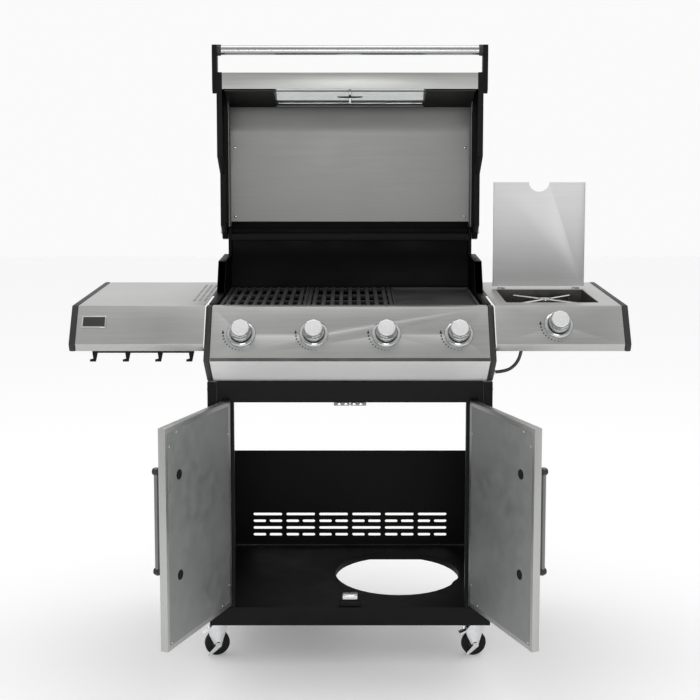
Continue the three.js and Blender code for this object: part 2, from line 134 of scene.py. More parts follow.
def makeStudio(settings):
    world = bpy.data.worlds.new("studio")
    bpy.context.scene.world = world
    world.use_nodes = True
    tree = world.node_tree
    way = addNode(tree, "ShaderNodeTexCoord").outputs["Generated"]
    parts = addNode(tree, "ShaderNodeSeparateXYZ", {"Vector": way})
    ranges = {
        "Value": parts.outputs["Y"],
        "From Min": settings["dimUntil"],
        "From Max": settings["fullFrom"],
        "To Min": settings["frontWorld"],
        "To Max": settings["backWorld"],
    }
    glow = addNode(tree, "ShaderNodeMapRange", ranges, interpolation_type="SMOOTHSTEP").outputs["Result"]
    background = tree.nodes["Background"]  # dim behind the camera, white behind the object
    background.inputs["Color"].default_value = linear("ffffff")
    tree.links.new(glow, background.inputs["Strength"])
    makeLight("key", (-2.4, -2.8, 3.0), (0, 0, 0.8), (3.6, 3.6), settings["keyWatts"])
    makeLight("fill", (2.8, -2.2, 1.6), (0, 0, 0.7), (3, 3), settings["fillWatts"])
    makeLight("front", (0, -4.6, 1.2), (0, 0, 1.15), (1.7, 0.9), settings["frontWatts"])
    makeLight("top", (0, 0.3, 3.6), (0, 0, 0.8), (2.6, 1.6), settings["topWatts"])
    bm = bmesh.new()
    bmesh.ops.create_grid(bm, x_segments=1, y_segments=1, size=9)
    mesh = bpy.data.meshes.new("floor")
    bm.to_mesh(mesh)
    bm.free()
    floor = bpy.data.objects.new("floor", mesh)
    bpy.context.scene.collection.objects.link(floor)
    paper = bpy.data.materials.new("studio paper")
    paper.use_nodes = True
    shader = paper.node_tree.nodes["Principled BSDF"]
    shader.inputs["Base Color"].default_value = linear(settings["floorHex"])
    shader.inputs["Roughness"].default_value = 0.9
    shader.inputs["Emission Color"].default_value = linear(settings["floorHex"])
    shader.inputs["Emission Strength"].default_value = settings["floorGlow"]
    floor.data.materials.append(paper)
    bpy.context.scene.view_settings.view_transform = "Standard"


makeCamera(cameraSet)
makeStudio(lightSet)
print("camera and studio are up")

# materials
surfaces = {}


def surface(name, metallic, ior=1.5, specular=0.5):
    material = bpy.data.materials.new(name)
    material.use_nodes = True
    tree = material.node_tree
    tree.nodes.clear()
    place = addNode(tree, "ShaderNodeTexCoord").outputs["Object"]
    feeds = {"Metallic": metallic, "IOR": ior, "Specular IOR Level": specular}
    shader = addNode(tree, "ShaderNodeBsdfPrincipled", feeds)
    addNode(tree, "ShaderNodeOutputMaterial", {"Surface": shader.outputs["BSDF"]})
    return material, tree, place, shader


def noiseOf(tree, place, stretch, detail=3.0, rough=0.55):
    mapped = addNode(tree, "ShaderNodeMapping", {"Vector": place, "Scale": stretch})
    return addNode(
        tree,
        "ShaderNodeTexNoise",
        {"Vector": mapped.outputs["Vector"], "Scale": 1.0, "Detail": detail, "Roughness": rough},
    ).outputs["Fac"]


def spread(tree, value, low, high):
    return addNode(
        tree,
        "ShaderNodeMapRange",
        {"Value": value, "From Min": 0.3, "From Max": 0.7, "To Min": low, "To Max": high},
    ).outputs["Result"]


def tint(tree, value, darkHex, lightHex):
    ramp = addNode(tree, "ShaderNodeValToRGB", {"Fac": value})
    ramp.color_ramp.elements[0].position = 0.3
    ramp.color_ramp.elements[0].color = linear(darkHex)
    ramp.color_ramp.elements[1].position = 0.7
    ramp.color_ramp.elements[1].color = linear(lightHex)
    return ramp.outputs["Color"]


def bump(tree, shader, height, strength, distance):
    made = addNode(tree, "ShaderNodeBump", {"Height": height, "Strength": strength, "Distance": distance})
    tree.links.new(made.outputs["Normal"], shader.inputs["Normal"])


def brushedSteel(name, darkHex, lightHex, lowRough, highRough, grain=(5, 330, 330), metallic=1.0):
    # stainless sheet, belt-brushed: grain 3 mm wide, coarser than real so that it shows
    material, tree, place, shader = surface(name, metallic)
    lines = noiseOf(tree, place, grain, 4)
    clouds = noiseOf(tree, place, (5, 5, 5), 2)
    both = addNode(tree, "ShaderNodeMath", {0: lines, 1: clouds}, operation="ADD").outputs[0]
    half = addNode(tree, "ShaderNodeMath", {0: both, 1: 0.5}, operation="MULTIPLY").outputs[0]
    tree.links.new(tint(tree, half, darkHex, lightHex), shader.inputs["Base Color"])
    tree.links.new(spread(tree, half, lowRough, highRough), shader.inputs["Roughness"])
    bump(tree, shader, lines, 0.12, 0.0003)
    return material


def spangledSteel():
    # galvanised liner sheet: dull zinc with soft cloudy spangles about 30 mm across
    material, tree, place, shader = surface("galvanised sheet", 0.6)
    clouds = noiseOf(tree, place, (34, 34, 34), 4)
    tree.links.new(tint(tree, clouds, "8e8f8f", "989999"), shader.inputs["Base Color"])
    tree.links.new(spread(tree, clouds, 0.5, 0.62), shader.inputs["Roughness"])
    bump(tree, shader, clouds, 0.08, 0.0004)
    return material


def polishedChrome(name, darkHex, lightHex, lowRough, highRough, metallic=1.0):
    # chrome plate: mirror bright, with faint handling marks 4 mm across
    material, tree, place, shader = surface(name, metallic)
    marks = noiseOf(tree, place, (240, 240, 240), 3)
    tree.links.new(tint(tree, marks, darkHex, lightHex), shader.inputs["Base Color"])
    tree.links.new(spread(tree, marks, lowRough, highRough), shader.inputs["Roughness"])
    return material


def grained(name, darkHex, lightHex, lowRough, highRough, grain, strength, metallic=0.0, specular=0.5):
    # paint, plastic, enamel or rubber with a fine even texture
    material, tree, place, shader = surface(name, metallic, 1.5, specular)
    fine = noiseOf(tree, place, (grain, grain, grain), 4)
    clouds = noiseOf(tree, place, (9, 9, 9), 2)
    tree.links.new(tint(tree, clouds, darkHex, lightHex), shader.inputs["Base Color"])
    tree.links.new(spread(tree, clouds, lowRough, highRough), shader.inputs["Roughness"])
    bump(tree, shader, fine, strength, 0.0005)
    return material


def clearGlass():
    # tempered soda-lime pane: nearly clear, with a thin haze of smears
    material, tree, place, shader = surface("tempered glass", 0.0, 1.52)
    smears = noiseOf(tree, place, (12, 30, 12), 3)
    tree.links.new(tint(tree, smears, "eef2f1", "f8fafa"), shader.inputs["Base Color"])
    tree.links.new(spread(tree, smears, 0.02, 0.08), shader.inputs["Roughness"])
    shader.inputs["Transmission Weight"].default_value = 0.96
    return material


def makeSurfaces():
    # belt-brushed stainless sheet: fine streaks along X and a soft, broad shine
    surfaces["steel"] = brushedSteel("brushed stainless sheet", "b2b3b1", "c3c4c2", 0.36, 0.48)
    # the lid's inner sheet, finer brushed; its colour is darkened as painted shade, standing in for the dark
    # firebox it faces
    surfaces["liner"] = brushedSteel(
        "satin stainless liner", "686867", "767675", 0.3, 0.4, (4, 90, 90)
    )
    # the side lid's sheet: painted light, its colour set nearly white and only partly metallic to stand in
    # for the studio light it catches from above
    surfaces["lidSteel"] = brushedSteel(
        "side lid stainless", "e6e6e6", "efefef", 0.45, 0.55, metallic=0.25
    )
    # polished tube: tight bright lines that run along it
    surfaces["tube"] = brushedSteel(
        "polished stainless tube", "b0b1b1", "c6c7c7", 0.2, 0.3, (4, 500, 500)
    )
    # the trim strip under the knobs: painted light, its colour paler and less metallic than the panel's so it
    # shows bright though it faces the dim front; its finish is flatter than the panel
    surfaces["strip"] = brushedSteel(
        "matt brushed trim", "dcdcdc", "e8e8e8", 0.5, 0.6, metallic=0.1
    )
    # door bars, dark chromed steel with the grain along the bar
    surfaces["bar"] = brushedSteel(
        "dark chromed bar", "707171", "868787", 0.24, 0.34, (500, 500, 4)
    )
    # steel that the burners have browned: no sheen and no clear colour; the same colour also serves as
    # painted shade in the dark strip above the panel trim
    surfaces["burntAndShade"] = brushedSteel(
        "heat-darkened steel and painted shade", "55524f", "7a7672", 0.4, 0.6, (30, 60, 60)
    )
    # zinc-coated liners and tray: dull, with cloudy spangles
    surfaces["zinc"] = spangledSteel()
    # chrome plate, mirror bright
    surfaces["chrome"] = polishedChrome("polished chrome", "d6d7d8", "e6e7e8", 0.08, 0.17)
    # the knobs' sides are chromed plastic, greyer than plated steel
    surfaces["knobChrome"] = polishedChrome("knob chrome", "b2b3b4", "c8c9ca", 0.1, 0.2)
    # the knobs' faces are satin, so they show white instead of a reflection
    surfaces["knobFace"] = polishedChrome("satin knob face", "e4e4e4", "f2f2f2", 0.34, 0.44, 0.35)
    # powder coat: deep black with a low, even sheen
    surfaces["paint"] = grained(
        "black powder coat", "101010", "181818", 0.5, 0.62, 900, 0.16, 0.0, 0.14
    )
    # porcelain enamel inside the firebox: blacker than paint
    surfaces["enamel"] = grained(
        "black porcelain enamel", "050505", "090909", 0.4, 0.55, 500, 0.12, 0.0, 0.1
    )
    # enamelled iron casting: charcoal, with a rough skin that scatters the light
    surfaces["iron"] = grained(
        "enamelled cast iron", "303030", "404040", 0.5, 0.68, 420, 0.4, 0.0, 0.4
    )
    # moulded caps and handle ends: charcoal, satin
    surfaces["plastic"] = grained(
        "charcoal moulded plastic", "333333", "3d3d3d", 0.5, 0.62, 700, 0.2, 0.0, 0.3
    )
    # rubber tyres and plugs: the dullest black
    surfaces["rubber"] = grained(
        "black rubber", "101010", "191919", 0.6, 0.78, 600, 0.25, 0.0, 0.25
    )
    # gas hose: dusty grey rubber
    surfaces["hose"] = grained(
        "grey rubber hose", "424242", "505050", 0.45, 0.6, 600, 0.2, 0.0, 0.4
    )
    # screen-printed dots and flame marks: flat, dark and just off black; the same colour also serves as
    # painted shade in the shelf's vent slits
    surfaces["printAndShade"] = grained("dark screen print and painted shade", "1c1c1c", "242424", 0.5, 0.6, 600, 0.05)
    # the thermometer's dial: warm white, slightly glossy
    surfaces["dial"] = grained("white enamel dial", "e6e6e2", "f0f0ed", 0.35, 0.45, 500, 0.03)
    # the thermometer's needle: the one strong colour
    surfaces["red"] = grained("red lacquer", "a01512", "b81c18", 0.3, 0.4, 500, 0.03)
    # the window in the lid: clear, with faint smears
    surfaces["glass"] = clearGlass()


makeSurfaces()
print("materials made:", len(surfaces))


# small tools for meshes
def settle(bm, name, material, body, stands=(), smooth=35, matrix=None):
    if matrix is not None:
        bm.transform(matrix)
    bmesh.ops.recalc_face_normals(bm, faces=bm.faces)
    for face in bm.faces:
        face.smooth = True
    for edge in bm.edges:
        edge.smooth = len(edge.link_faces) == 2 and edge.calc_face_angle(0) < math.radians(smooth)
    mesh = bpy.data.meshes.new(name)
    bm.to_mesh(mesh)
    bm.free()
    mesh.materials.append(surfaces[material])
    piece = bpy.data.objects.new(name, mesh)
    bpy.context.scene.collection.objects.link(piece)
    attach(piece, body)
    if stands:
        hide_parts(*stands)
    return piece


def roundOff(bm, edges, width, segments, clamp=False):
    bmesh.ops.bevel(
        bm,
        geom=edges,
        offset=width,
        segments=segments,
        profile=0.5,
        affect="EDGES",
        clamp_overlap=clamp,
        material=-1,
    )


def soften(bm, width, sharper=30):
    limit = math.radians(sharper)
    edges = [e for e in bm.edges if len(e.link_faces) == 2 and e.calc_face_angle(0) > limit]
    roundOff(bm, edges, width, 2, True)


def copyOf(node):
    bm = bmesh.new()
    bm.from_mesh(frame["nodes"][node].data)
    bmesh.ops.remove_doubles(bm, verts=bm.verts, dist=0.00002)
    bmesh.ops.dissolve_limit(bm, angle_limit=0.01, verts=bm.verts, edges=bm.edges)
    return bm


def addBlock(bm, low, high, width=0.0, segments=2):
    low, high = Vector(low), Vector(high)
    made = bmesh.ops.create_cube(bm, size=1)["verts"]
    bmesh.ops.scale(bm, vec=high - low, verts=made)
    bmesh.ops.translate(bm, vec=(low + high) / 2, verts=made)
    if width:
        edges = list({e for v in made for e in v.link_edges})
        roundOff(bm, edges, width, segments)
    return bm


def addPlate(bm, outline, thickness):
    face = bm.faces.new([bm.verts.new(point) for point in outline])
    made = bmesh.ops.extrude_face_region(bm, geom=[face], use_keep_orig=True)["geom"]
    bmesh.ops.translate(bm, vec=thickness, verts=[g for g in made if isinstance(g, bmesh.types.BMVert)])
    return bm


def addTurned(bm, profile, matrix=None, steps=48):
    part = bmesh.new()
    points = [part.verts.new((r * mm, 0, z * mm)) for r, z in profile]
    edges = [part.edges.new(pair) for pair in zip(points, points[1:])]
    bmesh.ops.spin(
        part, geom=points + edges, axis=(0, 0, 1), cent=(0, 0, 0), angle=math.tau, steps=steps, use_merge=True
    )
    bmesh.ops.remove_doubles(part, verts=part.verts, dist=0.000005)
    bmesh.ops.recalc_face_normals(part, faces=part.faces)
    if matrix is not None:
        part.transform(matrix)
    mesh = bpy.data.meshes.new("part")
    part.to_mesh(mesh)
    part.free()
    bm.from_mesh(mesh)
    bpy.data.meshes.remove(mesh)
    return bm


def aimed(origin, direction):
    return Matrix.Translation(Vector(origin)) @ Vector(direction).to_track_quat("Z", "Y").to_matrix().to_4x4()


def addBar(bm, start, end, radius, steps=20, round=0.6):
    start, end = Vector(start), Vector(end)
    length = (end - start).length / mm
    r, e = radius / mm, round
    profile = [(0, 0), (r - e, 0), (r, e), (r, length - e), (r - e, length), (0, length)]
    return addTurned(bm, profile, aimed(start, end - start), steps)


def addScrew(bm, where, direction, radius=3.2, high=1.6):
    profile = [(0, -0.4), (radius, -0.4), (radius, 0.3)]
    profile += [(radius * 0.72, high * 0.8), (radius * 0.3, high), (0, high)]
    return addTurned(bm, profile, aimed(where, direction), 14)


def slopeOf(jointName):
    # +Z stands out of the sloping face, +X runs to the right
    joint = joints[jointName]
    outward = Vector(joint["axis"])
    across = Vector((1, 0, 0))
    upward = outward.cross(across)
    turn = Matrix((across, upward, outward)).transposed().to_4x4()
    return Matrix.Translation(Vector(joint["pos_m"])) @ turn


# CAD nodes whose shape is right: the same shape with softened edges
fineSet = {
    "base_shelf": ("paint", "black_paint", 0.6),
    "side_panel_left": ("paint", "black_paint", 0.6),
    "side_panel_right": ("paint", "black_paint", 0.6),
    "firebox": ("enamel", "black_paint", 0.5),
    "tool_hooks": ("paint", "black_paint", 1.0),
    "lid_end_left": ("paint", "black_paint", 1.2),
    "lid_end_right": ("paint", "black_paint", 1.2),
    "door_left": ("steel", "stainless", 0.5),
    "door_right": ("steel", "stainless", 0.5),
    "control_panel": ("steel", "stainless", 0.5),
    "panel_cap_left": ("plastic", "black_plastic", 3.0),
    "panel_cap_right": ("plastic", "black_plastic", 3.0),
    "shelf_cap_left": ("plastic", "black_plastic", 3.0),
    "shelf_cap_right": ("plastic", "black_plastic", 3.0),
    "shelf_left": ("steel", "stainless", 0.5),
    "shelf_right": ("steel", "stainless", 0.5),
    "lid_hood": ("steel", "stainless", 0.5),
    "side_burner_lid": ("lidSteel", "stainless", 0.5),
    "grate_left": ("iron", "cast_iron", 1.6),
    "grate_middle": ("iron", "cast_iron", 1.6),
    "griddle": ("iron", "cast_iron", 1.8),
    "grease_tray": ("zinc", "dark_steel", 0.5),
    "brake_front_left": ("chrome", "chrome", 0.8),
    "brake_front_right": ("chrome", "chrome", 0.8),
}
fineSet.update({"fork_" + corner: ("chrome", "chrome", 0.7) for corner in corners})
keptSet = {"front_frame": "paint", "gas_manifold": "burntAndShade", "lid_window": "glass"}
keptSet.update({"heat_plate_left": "burntAndShade", "heat_plate_right": "burntAndShade"})
keptSet.update({"burner_" + str(i): "burntAndShade" for i in (1, 2, 3, 4)})
keptSet.update({"valve_stem_" + name: "chrome" for name in knobNames})


def refineNodes():
    for node, (material, slot, width) in fineSet.items():
        bm = copyOf(node)
        soften(bm, width * mm)
        settle(bm, "fine_" + node, material, frame["nodes"][node]["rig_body"], [node], 40)
    for node, material in keptSet.items():
        mesh = frame["nodes"][node].data
        mesh.materials.clear()
        mesh.materials.append(surfaces[material])


linerSet = {"bend": [140, 1063], "reach": 34, "steps": 9}


def makeLiner(settings):
    # the roof of the liner runs down to its front in one wide bend
    bm = copyOf("lid_liner")
    y, z = settings["bend"]
    bend = lidTurn @ at(0, y, z)
    edges = []
    for edge in bm.edges:
        a, b = (v.co for v in edge.verts)
        middle = (a + b) / 2
        if abs(a.x - b.x) > 0.2 and (middle - bend).yz.length < 0.004:
            edges.append(edge)
    print("liner folds bent:", len(edges))
    roundOff(bm, edges, settings["reach"] * mm, settings["steps"])
    settle(bm, "liner_bent", "liner", "lid", ["lid_liner"], 40)


refineNodes()
makeLiner(linerSet)
print("softened", len(fineSet), "sheet and cast pieces")

# back panel: stamped slots with round ends
backSet = {"slotHeight": 7.4, "slotSteps": 5, "roundness": 0.97, "inside": 4}


def makeBackPanel(settings):
    bm = copyOf("back_panel")
    low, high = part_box("back_panel")
    inside = settings["inside"] * mm
    ends = []
    for edge in bm.edges:
        a, b = (v.co for v in edge.verts)
        across = abs(a.y - b.y) > 0.001 and abs(a.x - b.x) < 1e-5 and abs(a.z - b.z) < 1e-5
        if across and low.x + inside < a.x < high.x - inside and low.z + inside < a.z < high.z - inside:
            ends.append(edge)
    roundOff(bm, ends, settings["slotHeight"] / 2 * settings["roundness"] * mm, settings["slotSteps"])
    settle(bm, "back_panel_slotted", "paint", "cart", ["back_panel"], 40)


makeBackPanel(backSet)
print("back panel slotted")

# knobs, bezels and their marks
knobSet = {
    "bezel": [
        (6, 0.3), (34.5, 0.3), (34.5, 1.6), (33, 3.4), (30, 4.8), (28.2, 6.2),
        (26.2, 6.2), (25.6, 5.6), (25.6, 1.2), (6, 1.2), (6, 0.3),
    ],
    "collar": [
        (0, 8), (23.8, 8), (24.8, 9), (24.8, 15), (24, 17), (22.6, 18), (22.9, 20),
        (24.4, 22), (24.4, 30), (23, 32.4), (19.6, 33.4), (0, 33.4),
    ],
    "cap": [
        (0, 33), (19.4, 33), (20.2, 34), (20.2, 37), (18.8, 38.8), (16.4, 39.3), (15.9, 38.7),
        (15.2, 38.7), (14.8, 39.4), (7, 39.9), (0, 40),
    ],
    "lobes": 8,
    "flat": 22.9,
    "dotCount": 9,
    "dotRing": 42.5,
}


def makeKnob(name, settings):
    place = slopeOf("turn_" + name)
    bm = bmesh.new()
    addTurned(bm, settings["bezel"], None, 64)
    settle(bm, "knob_bezel_" + name, "knobChrome", "cart", (), 50, place)

    bm = bmesh.new()
    addTurned(bm, settings["collar"], None, 96)
    for vert in bm.verts:
        z = vert.co.z / mm
        radius = vert.co.xy.length / mm
        if z > 19 and radius > 18.5:  # the collar has eight flats between round corners
            step = math.tau / settings["lobes"]
            angle = math.atan2(vert.co.y, vert.co.x) % step - step / 2
            flat = settings["flat"] / math.cos(angle) * radius / 24.4
            vert.co.xy *= min(1, flat / radius)
    settle(bm, "knob_grip_" + name, "knobChrome", "dial_" + name, ["knob_" + name], 24, place)

    bm = bmesh.new()
    addTurned(bm, settings["cap"], None, 64)
    settle(bm, "knob_cap_" + name, "knobFace", "dial_" + name, (), 30, place)

    bm = bmesh.new()
    for i in range(settings["dotCount"]):
        angle = math.radians(188 + i * 11)
        ring = settings["dotRing"]
        spot = Matrix.Translation((ring * mm * math.cos(angle), ring * mm * math.sin(angle), 0))
        size = 2.1 - 0.13 * i
        addTurned(bm, [(0, 0.1), (size, 0.1), (size, 0.35), (0, 0.35)], spot, 12)
    flame = Matrix.Translation((-43 * mm, 2 * mm, 0))
    addTurned(bm, [(0, 0.1), (2.7, 0.1), (2.7, 0.35), (0, 0.35)], flame, 16)
    cone = Matrix.Translation((-43 * mm, 6.4 * mm, 0.22 * mm)) @ Matrix.Diagonal((1, 1, 0.05, 1))
    cone = cone @ Matrix.Rotation(-math.pi / 2, 4, "X")
    addTurned(bm, [(0, -3.4), (2.2, -3.0), (1.4, 0), (0, 3.0)], cone, 12)
    settle(bm, "knob_marks_" + name, "printAndShade", "cart", (), 40, place)


for knobName in knobNames:
    makeKnob(knobName, knobSet)
print("knobs, bezels and marks made")

# pale trim under the control panel, its paleness painted light, with a dark strip above it that is painted
# shade for the step where the panel overhangs the trim
trimSet = {"half": 329.8, "crease": (-68, 770), "foot": (12, 707), "top": (10, 888), "shadeWidth": 8, "proud": 0.5}


def makeTrim(settings):
    half, proud = settings["half"], settings["proud"]
    (y0, z0), (y1, z1), (y2, z2) = settings["crease"], settings["foot"], settings["top"]
    # the trim's pale colour is painted light: the strip faces down toward the dim front
    bm = bmesh.new()
    long = math.hypot(y1 - y0, z1 - z0)
    out = Vector((0, -(z0 - z1) / long, -(y1 - y0) / long)) * proud * mm
    sheet = [at(-half, y0, z0), at(half, y0, z0), at(half, y1, z1), at(-half, y1, z1)]
    addPlate(bm, [corner + out * 0.2 for corner in sheet], out)
    settle(bm, "panel_trim", "strip", "cart")
    # this dark plate is painted shade: it stands in for the shadow in the step where the panel overhangs the
    # trim
    bm = bmesh.new()
    long = math.hypot(y2 - y0, z2 - z0)
    out = Vector((0, -(z2 - z0) / long, (y2 - y0) / long)) * proud * mm
    rise = settings["shadeWidth"] / long
    ya, za = y0 + (y2 - y0) * rise, z0 + (z2 - z0) * rise
    sheet = [at(-half, y0, z0), at(half, y0, z0), at(half, ya, za), at(-half, ya, za)]
    addPlate(bm, [corner + out * 0.2 for corner in sheet], out)
    settle(bm, "panel_painted_shade_strip", "burntAndShade", "cart")


makeTrim(trimSet)

# doors: liner, plugs, screws and bar handles
doorSet = {
    "open": 112.5,
    "width": 307,
    "thick": 18,
    "inset": 9,
    "low": 154,
    "high": 662,
    "rim": 11,
    "fromFree": 58,
    "stand": 40,
    "handleLow": 305,
    "handleHigh": 555,
    "screwIn": 9,
    "barRadius": 6,
    "plug": [(0, 0.7), (11.5, 0.7), (11.5, 1.6), (10.2, 2.2), (8.8, 1.9), (7.8, 0.9), (0, 0.8)],
    "foot": [
        (0, 0.4), (9, 0.4), (9, 2.2), (7, 4.5), (6.2, 16),
        (6.2, 30), (8.4, 33), (8.4, 46), (7, 48), (0, 48),
    ],
}


def makeDoor(name, side, settings):
    joint = joints[name + "_door_hinge"]
    pivot = Vector(joint["pos_m"])
    turn = Matrix.Rotation(side * math.radians(settings["open"]), 4, "Z")
    place = Matrix.Translation((pivot.x, pivot.y, 0)) @ turn
    half = settings["thick"] / 2
    body = name + "_door"

    def spot(along, y, z):
        return Vector((-side * along * mm, y * mm, z * mm))

    def panel(bm, a, b, y0, y1, z0, z1, width):
        p, q = spot(a, y0, z0), spot(b, y1, z1)
        low = [min(u, v) for u, v in zip(p, q)]
        high = [max(u, v) for u, v in zip(p, q)]
        addBlock(bm, low, high, width)

    rim, free = settings["rim"], settings["width"] - settings["inset"]
    screws = [settings["handleLow"] + settings["screwIn"], settings["handleHigh"] - settings["screwIn"]]
    grip = free - settings["fromFree"]

    bm = bmesh.new()
    bottom, top = settings["low"] + rim, settings["high"] - rim
    panel(bm, rim - 9, free - rim, half - 0.4, half + 0.8, bottom, top, 0.0005)
    settle(bm, "door_liner_" + name, "zinc", body, (), 40, place)

    bm = bmesh.new()
    for z in screws:
        addTurned(bm, settings["plug"], aimed(spot(grip, half, z), (0, 1, 0)), 32)
    settle(bm, "door_plugs_" + name, "rubber", body, (), 40, place)

    bm = bmesh.new()
    low, high = settings["low"] + 17, settings["high"] - 17
    places = [(6, low + 40), (6, high - 60), (free - 17, low)]
    places += [(free - 17, high - 26), (free - 48, high), (40, low)]
    for along, z in places:
        addScrew(bm, spot(along, half + 0.8, z), (0, 1, 0), 2.6, 1.2)
    settle(bm, "door_screws_" + name, "chrome", body, (), 40, place)

    bm = bmesh.new()
    y = -half - settings["stand"]
    r = settings["barRadius"]
    addBar(bm, spot(grip, y, settings["handleLow"]), spot(grip, y, settings["handleHigh"]), r * mm, 28, 1.5)
    settle(bm, "door_bar_" + name, "bar", body, ["door_handle_" + name], 40, place)
    bm = bmesh.new()
    for z in screws:
        addTurned(bm, settings["foot"], aimed(spot(grip, -half, z), (0, -1, 0)), 28)
    settle(bm, "door_feet_" + name, "plastic", body, (), 40, place)

    bm = bmesh.new()
    low, high = settings["low"], settings["high"]
    for z0, z1 in ((low - 7, low - 0.4), (high + 0.4, high + 4.5)):
        addBar(bm, (pivot.x, pivot.y, z0 * mm), (pivot.x, pivot.y, z1 * mm), 4 * mm, 16)
        near = (pivot.x - 9 * mm, pivot.y - 6 * mm, (z0 + z1 - 2) / 2 * mm)
        far = (pivot.x + 9 * mm, frontY + 1 * mm, (z0 + z1 + 2) / 2 * mm)
        addBlock(bm, near, far, 0.0005)
    settle(bm, "door_pivots_" + name, "paint", "cart", (), 40)


makeDoor("left", -1, doorSet)
makeDoor("right", 1, doorSet)
print("doors fitted")

# magnetic catches at the top and bottom of the opening
catchSet = {"footHalf": 27, "stepHalf": 19, "topHalf": 39}


def makeCatches(settings):
    foot, step, top = settings["footHalf"], settings["stepHalf"], settings["topHalf"]
    bm = bmesh.new()
    addBlock(bm, at(-foot, 3, 145.4), at(foot, 30, 161), 0.0025)
    settle(bm, "catch_foot", "paint", "cart")
    bm = bmesh.new()
    addBlock(bm, at(-top, 4, 647), at(-1, 26, 655.6), 0.0015)
    addBlock(bm, at(1, 4, 647), at(top, 26, 655.6), 0.0015)
    settle(bm, "catch_cases", "zinc", "cart")
    bm = bmesh.new()
    addBlock(bm, at(-step, 5, 161.2), at(step, 24, 175), 0.003, 3)
    for x in (-30, -14, 6, 22):
        addBlock(bm, at(x, 1.5, 649), at(x + 8, 4.4, 654), 0.0006)
    settle(bm, "catch_poles", "chrome", "cart")


makeCatches(catchSet)

# lid fittings
lidSet = {
    "tube": 12.5,
    "tubeY": -42,
    "tubeZ": 916,
    "tubeReach": 344.4,
    "gaugeRadius": 34,
    "gaugeBack": 48,
    "gaugeZ": 949,
}


def makeLidFittings(settings):
    reach = settings["tubeReach"]
    y, z = settings["tubeY"], settings["tubeZ"]
    bm = bmesh.new()
    addBar(bm, at(-reach, y, z), at(reach, y, z), settings["tube"] * mm, 48, 0.6)
    settle(bm, "lid_grip", "tube", "lid", ["lid_handle"], 40, lidTurn)
    bm = bmesh.new()
    for side in (-1, 1):
        collar = [(0, 0), (14.6, 0), (14.6, 9), (13.4, 11), (12.6, 11.4), (0, 11.4)]
        addTurned(bm, collar, aimed(at(side * 345, y, z), (-side, 0, 0)), 40)
    settle(bm, "lid_grip_collars", "plastic", "lid", (), 40, lidTurn)

    bm = bmesh.new()
    for side in (-1, 1):
        for u, v in ((214, 1061.2), (402, 1063.7)):
            addScrew(bm, at(side * 313, u, v), (0, 0, -1), 3.4, 1.6)
        for u, v in ((60, 918), (34, 918)):
            addScrew(bm, at(side * 357.2, u, v), (side, 0, 0), 4, 2)
        for u, v in ((110, 1040), (400, 1040), (110, 930)):
            addScrew(bm, at(side * 345.2, u, v), (side, 0, 0), 3.6, 1.8)
    settle(bm, "lid_screws", "chrome", "lid", (), 40, lidTurn)

    bm = bmesh.new()
    for side in (-1, 1):
        cap = [(0, 0), (9, 0), (9, 2), (7, 4.5), (0, 5)]
        addTurned(bm, cap, aimed((side * 345.6 * mm, hinge.y, hinge.z), (side, 0, 0)), 32)
    settle(bm, "lid_hinge_caps", "chrome", "lid", (), 40, lidTurn)

    bm = bmesh.new()  # dark cheeks close the sides of the window, before and behind the pane
    front = [(20, 904), (47, 904), (85, 1033), (70.5, 1033), (54.5, 1016), (28, 950)]
    behind = [(52.8, 904), (62, 904), (98, 1033), (91, 1033)]
    for side in (-1, 1):
        for outline in (front, behind):
            addPlate(bm, [at(side * 197.4, u, v) for u, v in outline], (side * 1.4 * mm, 0, 0))
    settle(bm, "window_cheeks", "enamel", "lid", (), 40, lidTurn)

    bm = bmesh.new()  # a black strip over the hood's rear fold, seen below the liner
    for side in (-1, 1):
        strip = [(416, 1062), (449, 1046.6), (449.6, 1048), (416.6, 1063.4)]
        addPlate(bm, [at(side * 324, u, v) for u, v in strip], (-side * 324 * mm, 0, 0))
    settle(bm, "lid_rear_strip", "enamel", "lid", (), 40, lidTurn)


